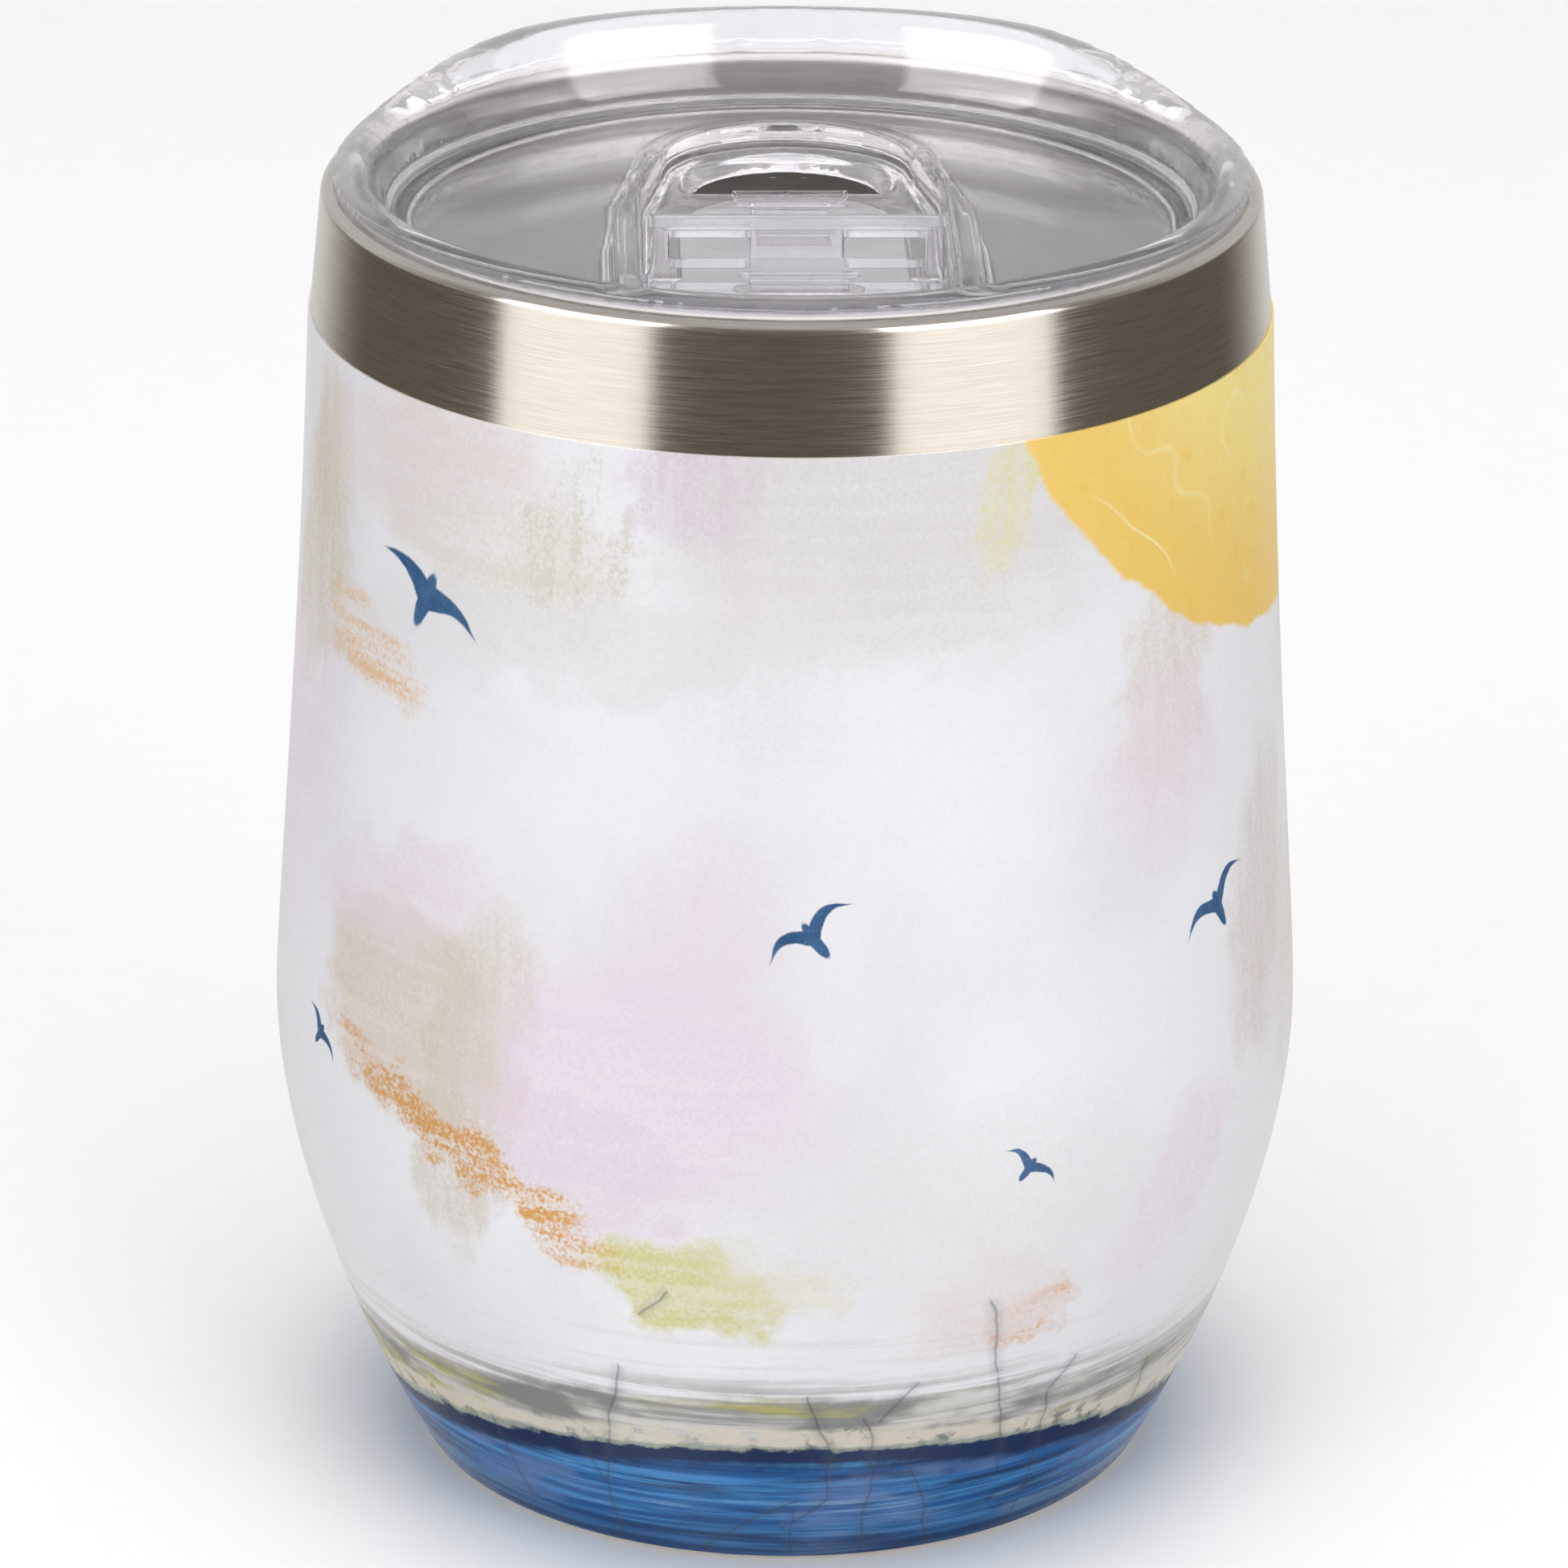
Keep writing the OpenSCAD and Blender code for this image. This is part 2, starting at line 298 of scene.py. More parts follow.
# Washes: place (degrees round, height), turn, half size in millimetres, softness, colour, strength, dryness.
WASHES = (
    (-40, 93, -30, (15, 8), 0.3, (218, 211, 200), 0.7, 0.45),
    (-29, 93, 62, (9, 3), 0.25, (204, 201, 184), 0.6, 0.8),
    (-23, 90, 64, (8, 1.6), 0.3, (208, 200, 188), 0.6, 0.85),
    (-72, 86, 78, (13, 6), 0.3, (208, 196, 170), 0.8, 0.5),
    (-58, 79, -20, (7, 3), 0.4, (226, 178, 112), 0.75, 0.8),
    (-50, 97, 10, (13, 5), 0.5, (229, 217, 218), 0.5, 0.3),
    (-12, 99, 80, (5, 5), 0.5, (214, 190, 210), 0.75, 0.5),
    (-7, 93, 80, (6, 2), 0.5, (226, 208, 222), 0.5, 0.5),
    (10, 95, 0, (17, 9), 0.5, (216, 212, 211), 0.8, 0.35),
    (-4, 84, 85, (9, 6), 0.6, (228, 224, 226), 0.5, 0.4),
    (25, 98, 72, (7, 2.5), 0.4, (222, 216, 160), 0.8, 0.6),
    (-28, 84, 4, (20, 4), 0.35, (224, 223, 225), 0.7, 0.2),
    (47, 78, 82, (9, 5), 0.35, (220, 208, 196), 0.75, 0.55),
    (46, 71, 80, (7, 6), 0.5, (232, 218, 228), 0.7, 0.4),
    (66, 55, 75, (12, 5), 0.4, (216, 204, 200), 0.7, 0.5),
    (-48, 49, -15, (11, 9), 0.22, (216, 202, 188), 0.85, 0.3),
    (-38, 45, 78, (15, 5), 0.2, (210, 199, 184), 0.7, 0.45),
    (-50, 59, 15, (10, 4), 0.5, (230, 216, 224), 0.75, 0.35),
    (-17, 47, -10, (13, 10), 0.4, (230, 214, 228), 0.85, 0.35),
    (-24, 41, -16, (9, 5), 0.25, (226, 208, 222), 0.6, 0.4),
    (-12, 60, 70, (8, 5), 0.6, (232, 216, 228), 0.6, 0.45),
    (-42, 39.5, -24, (14, 2.0), 0.4, (214, 152, 62), 0.95, 0.85),
    (-27, 34, -34, (6, 2.4), 0.45, (218, 160, 78), 0.85, 0.88),
    (-13, 30.2, -14, (8, 4.2), 0.22, (208, 202, 112), 0.8, 0.4),
    (-3, 31, -12, (5, 2.5), 0.5, (222, 214, 156), 0.6, 0.5),
    (28, 25.0, 14, (3.6, 2.2), 0.35, (220, 158, 84), 0.85, 0.8),
    (22, 27, 20, (6, 4), 0.5, (226, 208, 206), 0.7, 0.5),
    (18, 36, 0, (17, 8), 0.6, (226, 225, 227), 0.7, 0.25),
    (48, 34, 60, (8, 4), 0.5, (230, 216, 224), 0.6, 0.45),
    (100, 44, -20, (21, 12), 0.6, (218, 206, 192), 0.65, 0.5),
    (120, 36, -25, (13, 2.0), 0.4, (216, 158, 72), 0.85, 0.85),
    (-105, 60, 20, (23, 14), 0.7, (230, 216, 228), 0.75, 0.4),
    (-125, 87, -15, (23, 10), 0.6, (216, 206, 192), 0.65, 0.55),
    (-100, 35, 14, (13, 4), 0.5, (214, 208, 134), 0.5, 0.7),
    (150, 88, 10, (18, 9), 0.5, (220, 213, 217), 0.7, 0.35),
    (165, 50, -15, (22, 14), 0.7, (230, 216, 228), 0.75, 0.4),
    (-160, 38, -20, (13, 2.2), 0.4, (216, 156, 70), 0.85, 0.85),
    (-150, 31, 8, (12, 3.5), 0.5, (214, 208, 134), 0.55, 0.65),
)
for degrees, height, turn, half, soft, colour, strength, dry in WASHES:
    spot = (math.radians(degrees) * ROUND_TO_MM, height)
    dab = wash(tree, loose, spot, turn, half, soft)
    stroke = brush_round if abs(turn) < 45 else brush_down
    texture = work(tree, "ADD", work(tree, "MULTIPLY", stroke, 0.55), work(tree, "MULTIPLY", grain, 0.45))
    broken = spread(tree, texture, 0.34 + 0.14 * dry, 0.56 + 0.06 * dry, 1 - dry, 1)
    amount = work(tree, "MULTIPLY", work(tree, "MULTIPLY", dab, broken), strength)
    picture = blend_colour(tree, amount, picture, tint(*colour))

# Sun: a flat yellow disc cut by the band, warmer at its edge, with thin pale strokes drawn round in it.
SUN = (57.1, 121.0, 43.4)
from_sun = tree.nodes.new("ShaderNodeVectorMath")
from_sun.operation = "DISTANCE"
feed(tree, from_sun.inputs[0], firm)
from_sun.inputs[1].default_value = (SUN[0], SUN[1], 1)
reach = from_sun.outputs["Value"]
sun_mask = spread(tree, reach, SUN[2] + 0.35, SUN[2] - 0.35)
sun_colour = blend_colour(tree, spread(tree, reach, 22, SUN[2] - 2), tint(249, 230, 148), tint(242, 204, 108))
sun_colour = blend_colour(tree, spread(tree, mottle, 0.5, 0.75, 0, 0.4), sun_colour, tint(240, 192, 88))
even = work(tree, "MULTIPLY", reach, 0.75)
sway = work(tree, "ADD", even, work(tree, "MULTIPLY", noise(tree, place, 75, 1, 0.4), 26))
thread = spread(tree, work(tree, "SINE", sway), 0.955, 0.995)
thread = work(tree, "MULTIPLY", thread, spread(tree, noise(tree, place, 60, 2, 0.5), 0.45, 0.58))
thread = work(tree, "MULTIPLY", thread, spread(tree, grain, 0.25, 0.55, 0.2, 0.75))
sun_colour = blend_colour(tree, thread, sun_colour, tint(252, 238, 184))
picture = blend_colour(tree, sun_mask, picture, sun_colour)

# Shore: thin level strokes that gather below the sky, grey, cream and olive, over a blue sea.
swell = work(tree, "COSINE", work(tree, "MULTIPLY", angle, 2.0))
horizon = work(tree, "ADD", 10.6, work(tree, "MULTIPLY", swell, 2.6))
above = work(tree, "SUBTRACT", high, horizon)
above = work(tree, "ADD", above, work(tree, "MULTIPLY", work(tree, "SUBTRACT", brush_round, 0.5), 2.4))
above = work(tree, "ADD", above, work(tree, "MULTIPLY", work(tree, "SUBTRACT", mottle, 0.5), 1.6))
fine_round = noise(tree, stretch(tree, place, (34, 34, 1100)), 1, 5, 0.65)
shore_patch = noise(tree, stretch(tree, place, (70, 70, 190)), 1, 3, 0.6)
far_patch = noise(tree, stretch(tree, place, (50, 50, 240)), 1, 4, 0.65)
veil = work(tree, "MULTIPLY", spread(tree, above, 16, 6), spread(tree, fine_round, 0.5, 0.68))
picture = blend_colour(tree, work(tree, "MULTIPLY", veil, 0.6), picture, tint(200, 201, 196))
veil = work(tree, "MULTIPLY", spread(tree, above, 9.0, 6.0), spread(tree, fine_round, 0.4, 0.56))
picture = blend_colour(tree, work(tree, "MULTIPLY", veil, 0.8), picture, tint(176, 172, 172))
shore = blend_colour(tree, spread(tree, shore_patch, 0.42, 0.56), tint(206, 204, 198), tint(128, 127, 124))
shore = blend_colour(tree, spread(tree, far_patch, 0.5, 0.62), shore, tint(176, 172, 96))
shore = blend_colour(tree, spread(tree, fine_round, 0.46, 0.66, 0, 0.8), shore, tint(132, 134, 134))
picture = blend_colour(tree, spread(tree, above, 6.4, 4.8, 0, 0.95), picture, shore)
sand = work(tree, "MULTIPLY", spread(tree, above, 2.8, 2.0), spread(tree, mottle, 0.36, 0.48))
picture = blend_colour(tree, work(tree, "MULTIPLY", sand, 0.9), picture, tint(214, 208, 192))
wet_sand = work(tree, "MULTIPLY", spread(tree, above, 0.9, 0.3), 0.6)
picture = blend_colour(tree, wet_sand, picture, tint(92, 122, 116))
sea = blend_colour(tree, spread(tree, fine_round, 0.42, 0.62), tint(16, 84, 148), tint(70, 142, 200))
sea = blend_colour(tree, spread(tree, brush_round, 0.48, 0.66, 0, 0.9), sea, tint(14, 50, 98))
sea = blend_colour(tree, spread(tree, shore_patch, 0.52, 0.72, 0, 0.75), sea, tint(100, 128, 180))
crests = work(tree, "MULTIPLY", spread(tree, far_patch, 0.52, 0.64), spread(tree, fine_round, 0.45, 0.6))
sea = blend_colour(tree, crests, sea, tint(112, 150, 186))
sea = blend_colour(tree, spread(tree, above, -2.6, -1.2), sea, tint(12, 40, 82))
sea = blend_colour(tree, spread(tree, high, 5, 0.5, 0, 0.55), sea, tint(14, 42, 88))
picture = blend_colour(tree, spread(tree, above, 0.25, -0.15), picture, sea)

# Gulls: place, turn and half span, with how much their wings droop.
GULLS = (
    (-47.5, 85.1, -24, 6.3, 0.16), (1.4, 61.2, 38, 4.3, 0.3), (55.2, 56.6, 28, 4.8, 0.34),
    (-64.8, 43.0, -42, 3.0, 0.24), (25.6, 39.6, -38, 2.9, 0.26), (96, 74, 20, 5.0, 0.24),
    (128, 58, -18, 4.2, 0.3), (172, 80, 26, 5.6, 0.2), (-158, 62, -30, 4.0, 0.3), (-118, 74, 16, 4.8, 0.26),
)
birds = 0.0
sky_place = pushed(0.9)
for degrees, height, turn, half_span, droop in GULLS:
    spot = (math.radians(degrees) * ROUND_TO_MM, height)
    birds = work(tree, "MAXIMUM", birds, gull(tree, sky_place, spot, turn, half_span, droop))
ink = blend_colour(tree, spread(tree, mottle, 0.35, 0.7), tint(46, 84, 128), tint(66, 108, 150))
birds = work(tree, "MULTIPLY", birds, spread(tree, grain, 0.2, 0.4, 0.75, 1))
picture = blend_colour(tree, birds, picture, ink)

# The film puckers in sharp folds where it shrinks on the narrowing foot; their shade is painted into the
# colour, with no relief: a dark line along each crease and a wider soft shade round it. The set repeats three
# times round.
FOLDS = (
    ((-21.1, 21.4), (-23.6, 14.0), (-26.0, 7.4), (-26.5, 0.5)), ((-29.2, 13.1), (-26.4, 7.3)),
    ((0.9, 19.4), (4.5, 13.2), (4.7, 7.5), (-2.0, 4.0)), ((8.6, 16.7), (10.6, 10.5), (10.2, 0.6)),
    ((14.8, 20.1), (10.0, 16.0)), ((15.5, 11.2), (18.8, 6.3), (21.0, 0.2)),
    ((36.3, 19.5), (33.1, 16.3), (35.1, 6.7), (35.0, 0.4)), ((22.4, 27.7), (25.0, 19.5), (29.4, 7.9)),
    ((-13.4, 1.0), (-5.0, 5.6), (0.5, 7.5)), ((-0.5, 6.3), (-0.3, 0.9)), ((-58.5, 9.4), (-57.0, 5.0)),
    ((-14.7, 29.6), (-18.2, 26.8)), ((52.0, 15.0), (54.0, 7.0)), ((-43.0, 12.0), (-41.0, 3.0)),
)
third = work(tree, "WRAP", angle, math.radians(60), math.radians(-60))
wobble = work(tree, "MULTIPLY", work(tree, "SUBTRACT", noise(tree, place, 160, 2, 0.5), 0.5), 2.2)
along_sheet = work(tree, "ADD", work(tree, "MULTIPLY", third, ROUND_TO_MM), wobble)
sheet_place = tree.nodes.new("ShaderNodeCombineXYZ")
for socket, value in zip(sheet_place.inputs, (along_sheet, high, 1.0)):
    feed(tree, socket, value)
painted_crease_shade, painted_fold_shading = 0.0, 0.0
for fold in FOLDS:
    for start, stop in zip(fold, fold[1:]):
        a = Vector((math.radians(start[0]) * ROUND_TO_MM, start[1]))
        b = Vector((math.radians(stop[0]) * ROUND_TO_MM, stop[1]))
        middle, run = (a + b) / 2, b - a
        turn = math.degrees(math.atan2(run.y, run.x))
        along, across = seen_from(tree, sheet_place.outputs[0], middle, turn, (run.length / 2, 0.16))
        along_it = spread(tree, work(tree, "ABSOLUTE", along), 1.05, 0.9)
        aside = work(tree, "ABSOLUTE", across)
        crease_shade_line = work(tree, "MULTIPLY", along_it, spread(tree, aside, 1.2, 0.1))
        painted_crease_shade = work(tree, "MAXIMUM", painted_crease_shade, crease_shade_line)
        painted_fold_shading = work(tree, "MAXIMUM", painted_fold_shading, work(tree, "MULTIPLY", along_it, spread(tree, aside, 7, 0)))
# Painted shade of the folds: a dark line in each crease, then a fainter, wider darkening round it.
picture = blend_colour(tree, work(tree, "MULTIPLY", painted_crease_shade, 0.42), picture, tint(36, 46, 60))
picture = blend_colour(tree, work(tree, "MULTIPLY", painted_fold_shading, 0.2), picture, tint(70, 84, 100))
picture = blend_colour(tree, spread(tree, grain, 0.3, 0.7, 0, 0.05), picture, tint(150, 150, 156), "MULTIPLY")
feed(tree, shader.inputs["Base Color"], picture)
feed(tree, shader.inputs["Roughness"], spread(tree, grain, 0.2, 0.8, 0.3, 0.42))
shader.inputs["Specular IOR Level"].default_value = 0.3
raised(tree, shader, grain, 0.000005, 0.6)
wrap.data.materials.append(film)

# ---------------------------------------------------------------------------
# Inner cup: a second steel shell, deep drawn and left satin, welded to the
# outer wall under the lip. Seen through the lid.
# ---------------------------------------------------------------------------

inner_bowl = bezier((15, 10.5), (30, 10.5), (37.4, 23), (37.4, 44), 28)
inner_wall = bezier((37.4, 44), (37.4, 62), (36.1, 84), (36.2, 98), 16, 1)
inner_lip = arc((37.5, 111.1), 0.9, 180, 90, 8)
inner_path = [(0.01, 10.5), (8, 10.5)] + inner_bowl + inner_wall
inner_path += [(36.6, 103)] + inner_lip + [(37.85, CUP_TOP)]
liner = turned("inner_cup", inner_path + shifted(inner_path, -0.5)[::-1])
liner.data.materials.append(brushed_steel("liner_steel", (228, 225, 220), 0.12, 0.24, 4000, 0.000002, 0.72))
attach(liner, "tumbler")
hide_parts("inner_liner")

# ---------------------------------------------------------------------------
# Closed bottom: a pressed plate welded in the foot, its evacuation hole
# fused shut, with the getter and the foil in the vacuum above it.
# ---------------------------------------------------------------------------

plain_steel = brushed_steel("pressed_steel", (196, 194, 190), 0.28, 0.42, 3000, 0.000003)


def grainy(name, colour, shade, rough, metallic, scale):
    """A plain material with a fine mottle in its colour and its relief."""
    made, tree, shader, place = material(name)
    speckle = noise(tree, place, scale, 4, 0.6)
    mottled = blend_colour(tree, spread(tree, speckle, 0.35, 0.65), tint(*shade), tint(*colour))
    feed(tree, shader.inputs["Base Color"], mottled)
    feed(tree, shader.inputs["Roughness"], spread(tree, speckle, 0.2, 0.8, rough - 0.06, rough + 0.08))
    shader.inputs["Metallic"].default_value = metallic
    raised(tree, shader, speckle, 0.00001)
    return made


for node, finish in (
    ("outer_bottom", plain_steel),
    ("getter_clip", plain_steel),
    ("getter_pellet", grainy("sintered_getter", (92, 92, 96), (58, 58, 62), 0.8, 0.3, 4000)),
    ("seal_bead", grainy("fused_bead", (120, 108, 92), (84, 74, 62), 0.25, 0.0, 1500)),
    ("radiation_foil", grainy("bright_foil", (226, 226, 228), (196, 196, 200), 0.18, 1.0, 350)),
):
    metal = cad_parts[node]
    metal.data.materials.clear()
    metal.data.materials.append(finish)

# ---------------------------------------------------------------------------
# Bottom cover: a shallow steel pan pressed and bonded under the closing
# plate, a little above what the cup stands on.
# ---------------------------------------------------------------------------

cover_path = [(0.01, 1.0), (12, 1.0), (25.2, 1.0)] + arc((25.5, 1.9), 0.9, -90, 0, 6) + [
    (26.4, 2.38), (25.9, 2.38), (25.8, 2.0), (25.4, 1.6), (12, 1.6), (0.01, 1.6)]
cover = turned("bottom_pan", cover_path)
cover.data.materials.append(brushed_steel("cover_steel", (204, 202, 197), 0.22, 0.36, 4000, 0.000003))
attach(cover, "tumbler")
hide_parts("bottom_cover")

# ---------------------------------------------------------------------------
# Seal ring: moulded silicone, stretched into the groove round the lid's
# plug, with two soft lips that press on the mouth.
# ---------------------------------------------------------------------------


def eased(corners, steps=5):
    """An outline whose corners (radius, height, rounding) are rounded off."""
    points = []
    for i, (r, z, ease) in enumerate(corners):
        if ease == 0 or i in (0, len(corners) - 1):
            points.append((r, z))
            continue
        here = Vector((r, z))
        back, on = (Vector(corners[i + k][:2]) - here for k in (-1, 1))
        start = here + back.normalized() * min(ease, back.length * 0.48)
        stop = here + on.normalized() * min(ease, on.length * 0.48)
        for k in range(steps + 1):
            t = k / steps
            points.append(tuple(start * (1 - t) ** 2 + here * 2 * t * (1 - t) + stop * t * t))
    return points


ring_path = eased([
    (34.28, 106.2, 0), (34.28, 105.3, 0.2), (35.4, 105.3, 0.3), (36.3, 105.45, 0.18), (36.3, 106.0, 0.18),
    (35.5, 106.2, 0.15), (35.5, 106.75, 0.15), (36.3, 106.9, 0.18), (36.3, 107.45, 0.18), (35.4, 107.7, 0.3),
    (34.28, 107.7, 0.2), (34.28, 106.2, 0)], 3)
seal = turned("seal_ring", ring_path)
silicone, tree, shader, place = material("clear_silicone")
haze = noise(tree, place, 700, 3, 0.5)
cloudy = blend_colour(tree, spread(tree, haze, 0.35, 0.65), tint(222, 223, 228), tint(236, 237, 240))
feed(tree, shader.inputs["Base Color"], cloudy)
feed(tree, shader.inputs["Roughness"], spread(tree, haze, 0.2, 0.8, 0.34, 0.48))
shader.inputs["Transmission Weight"].default_value = 0.7
shader.inputs["IOR"].default_value = 1.41
raised(tree, shader, haze, 0.00001)
seal.data.materials.append(silicone)
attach(seal, "seal_ring")
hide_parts("lid_gasket")

# ---------------------------------------------------------------------------
# Lid: one clear moulding. A plug goes into the mouth, the rim rests on the
# lip and sweeps up to the drinking side, and two rails guide the slider.
# ---------------------------------------------------------------------------

FLOOR = 108.9
RIM_RISE = 3.0
sweep = bezier((10, 0), (21, 0.2), (26, RIM_RISE), (31.5, RIM_RISE), 40)


def rim_lift(y):
    """How far the rim is raised at a place in front of or behind the middle, in millimetres."""
    if y <= sweep[0][0]:
        return 0.0
    if y >= sweep[-1][0]:
        return RIM_RISE - 0.3 * max(0.0, min(1.0, (y - 34) / 3.5))
    for (y0, z0), (y1, z1) in zip(sweep, sweep[1:]):
        if y <= y1:
            return z0 + (z1 - z0) * (y - y0) / (y1 - y0)


def smooth_share(value, low, high):
    """0 below low, 1 above high, and eased in between."""
    t = max(0.0, min(1.0, (value - low) / (high - low)))
    return t * t * (3 - 2 * t)


# The grooves are cut a little over size, because the skin's softening draws them in.
rim_path = eased([
    (0.01, 106.9, 0), (16, 106.9, 0), (32.6, 106.9, 0.6), (32.6, 103.8, 0.5), (35.8, 103.8, 0.6),
    (35.8, 104.9, 0.1), (33.8, 104.9, 0.1), (33.8, 108.1, 0.1), (35.9, 108.1, 0.15), (35.9, 112.1, 0.15),
    (38.3, 112.1, 0.2), (38.3, 112.6, 0), (38.3, 113.5, 0.8), (35.9, 113.55, 0), (35.1, 113.0, 0.9),
    (34.4, 111.5, 0), (33.8, 110.2, 0), (33.2, FLOOR, 1.3), (30, FLOOR, 0), (16, FLOOR, 0),
    (0.01, FLOOR, 0)], 6)
lid = turned("clear_lid", rim_path, around=240)
for vertex in lid.data.vertices:
    x, y, z = vertex.co / MM
    if math.hypot(x, y) > 32.7 and z > 109.0:
        inner = max(0.0, min(1.0, (z - FLOOR) / 4.1))
        share = smooth_share(z, 112.3, 113.1) if math.hypot(x, y) > 36.2 else inner
        vertex.co.z += rim_lift(y) * share * MM


def plate(name, outline, draw):
    """A face laid round the outline's points and drawn out along a vector, all in millimetres."""
    bpy.ops.object.select_all(action="DESELECT")
    bpy.ops.mesh.primitive_circle_add(vertices=len(outline), fill_type="NGON")
    piece = bpy.context.object
    piece.name = name
    for vertex, point in zip(piece.data.vertices, outline):
        vertex.co = Vector(point) * MM
    bpy.ops.object.mode_set(mode="EDIT")
    bpy.ops.mesh.select_all(action="SELECT")
    bpy.ops.mesh.extrude_region_move(TRANSFORM_OT_translate={"value": Vector(draw) * MM})
    bpy.ops.mesh.select_all(action="SELECT")
    bpy.ops.mesh.normals_make_consistent(inside=False)
    bpy.ops.object.mode_set(mode="OBJECT")
    return piece


def joined(piece, other, operation):
    """One solid added to, cut from or kept within another, which is used up."""
    step = piece.modifiers.new("join", "BOOLEAN")
    step.object, step.operation, step.solver = other, operation, "EXACT"
    bpy.context.view_layer.objects.active = piece
    bpy.ops.object.modifier_apply(modifier=step.name)
    bpy.data.objects.remove(other)
    return piece


def channel_outline(out, height, front):
    """Plan of the slide channel, wider all round by out: straight sides that close in to a round end."""
    side, end = 12.6 + out, 10.6 + out
    plan = [(-side, front), (side, front), (side, 4)] + arc((0, 14.5), end, 0, 180, 32) + [(-side, 4)]
    return [(x, y, height) for x, y in plan]


# The rails run parallel beside the slider and are drawn in to a low ridge round the channel's end.
half = [(15, -36), (15, -12)] + bezier((15, -12), (14.8, -8), (13.4, 0), (12.6, 7), 10, 1)
half += bezier((12.6, 7), (12.4, 9), (12.2, 11.5), (12.2, 14.5), 6, 1)
outer = half + arc((0, 14.5), 12.2, 0, 180, 40, 1) + [(-x, y) for x, y in half[::-1]]
rails = plate("rails", [(x, y, FLOOR - 1) for x, y in outer], (0, 0, 8))
slope = bezier((-7, CUP_TOP), (-2, CUP_TOP), (4, 111.1), (11.5, 110.4), 12)
slope += bezier((11.5, 110.4), (14.5, 110.1), (15, FLOOR + 0.4), (18, FLOOR + 0.3), 14, 1)
lead_in = [(-50, 110.4), (-31.5, 110.4), (-29, 111.5), (-27, CUP_TOP)]
over_rails = [(-60, y, z) for y, z in lead_in + slope + [(50, FLOOR + 0.3), (50, 130), (-50, 130)]]
joined(rails, plate("over_rails", over_rails, (120, 0, 0)), "DIFFERENCE")
between = [(-12.6, -40, 100), (12.6, -40, 100), (12.6, -20, 100), (-12.6, -20, 100)]
joined(rails, plate("between", between, (0, 0, 20)), "DIFFERENCE")
bound = [(0.01, FLOOR - 1.5), (33.45, FLOOR - 1.5), (33.45, 120), (0.01, 120)]
joined(rails, turned("rail_bound", bound, 240), "INTERSECT")
joined(lid, rails, "UNION")
joined(lid, plate("tray", channel_outline(1.8, 105.5, -28.3), (0, 0, 2.9)), "UNION")
joined(lid, plate("channel", channel_outline(0, 107.3, -26.5), (0, 0, 20)), "DIFFERENCE")
for side in (-1, 1):
    groove = [(side * x, y, 109.2) for x, y in ((12.3, -25), (13.3, -25), (13.3, -3), (12.3, -3))]
    joined(lid, plate("groove", groove, (0, 0, 1.75)), "DIFFERENCE")
hole_path = [(0.01, 104.9), (7.2, 104.9), (9.075, 107.4), (9.075, 108.5), (0.01, 108.5)]
hole = turned("drinking_hole", hole_path, 96)
hole.location.y = 14.0 * MM
kept = [(-10, 11.2, 104), (10, 11.2, 104), (10, 30, 104), (-10, 30, 104)]
joined(hole, plate("beyond", kept, (0, 0, 6)), "INTERSECT")
joined(lid, hole, "DIFFERENCE")


def moulded(piece, grain_size, passes):
    """Turn joined solids into one skin with soft edges, as a mould's polished cavity leaves them."""
    bpy.ops.object.select_all(action="DESELECT")
    piece.select_set(True)
    bpy.context.view_layer.objects.active = piece
    skin = piece.modifiers.new("skin", "REMESH")
    skin.mode, skin.voxel_size, skin.adaptivity = "VOXEL", grain_size * MM, 0.0
    bpy.ops.object.modifier_apply(modifier=skin.name)
    soft = piece.modifiers.new("soft", "SMOOTH")
    soft.factor, soft.iterations = 0.5, passes
    bpy.ops.object.modifier_apply(modifier=soft.name)
    bpy.ops.object.shade_smooth()


def clear_plastic(name, colour, rough, dense, mould_line=False):
    """Clear copolyester with a faint cast, a polished skin and the slow ripple of a moulding.

    dense is its opacity: under 1, some light passes straight through and the thick edges stay light.
    """
    made, tree, shader, place = material(name)
    ripple = noise(tree, place, 120, 2, 0.5)
    rub = noise(tree, stretch(tree, place, (900, 900, 900)), 1, 4, 0.6)
    paler = tint(*[min(255, c + 5) for c in colour])
    shade = blend_colour(tree, spread(tree, ripple, 0.35, 0.65), tint(*colour), paler)
    feed(tree, shader.inputs["Base Color"], shade)
    feed(tree, shader.inputs["Roughness"], spread(tree, rub, 0.35, 0.8, rough, rough + 0.05))
    shader.inputs["Transmission Weight"].default_value = 1.0
    shader.inputs["IOR"].default_value = 1.5
    shader.inputs["Alpha"].default_value = dense
    if mould_line:
        axes = tree.nodes.new("ShaderNodeSeparateXYZ")
        feed(tree, axes.inputs[0], place)
        line = spread(tree, work(tree, "ABSOLUTE", axes.outputs[0]), 0.00025, 0.00006)
        line = work(tree, "MULTIPLY", line, work(tree, "GREATER_THAN", axes.outputs[1], 0.0315))
        ripple = work(tree, "ADD", ripple, work(tree, "MULTIPLY", line, 1.5))
    raised(tree, shader, ripple, 0.00002, 0.5)
    return made


moulded(lid, 0.42, 4)
rim = lid.vertex_groups.new(name="rim")
on_rim = [v.index for v in lid.data.vertices if v.co.xy.length > 32.2 * MM and v.co.z > 108.4 * MM]
rim.add(on_rim, 1.0, "REPLACE")
polish = lid.modifiers.new("polish", "SMOOTH")
polish.factor, polish.iterations, polish.vertex_group = 0.5, 30, "rim"
bpy.ops.object.modifier_apply(modifier=polish.name)
lid.data.materials.clear()
lid.data.materials.append(clear_plastic("lid_plastic", (245, 244, 247), 0.015, 0.8, True))
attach(lid, "lid")
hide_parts("lid_body")

# ---------------------------------------------------------------------------
# Slider: one clear moulding. Its round tongue covers the drinking hole, a
# finger pushes the hollow thumb piece, and wings hold it in the rails.
# ---------------------------------------------------------------------------

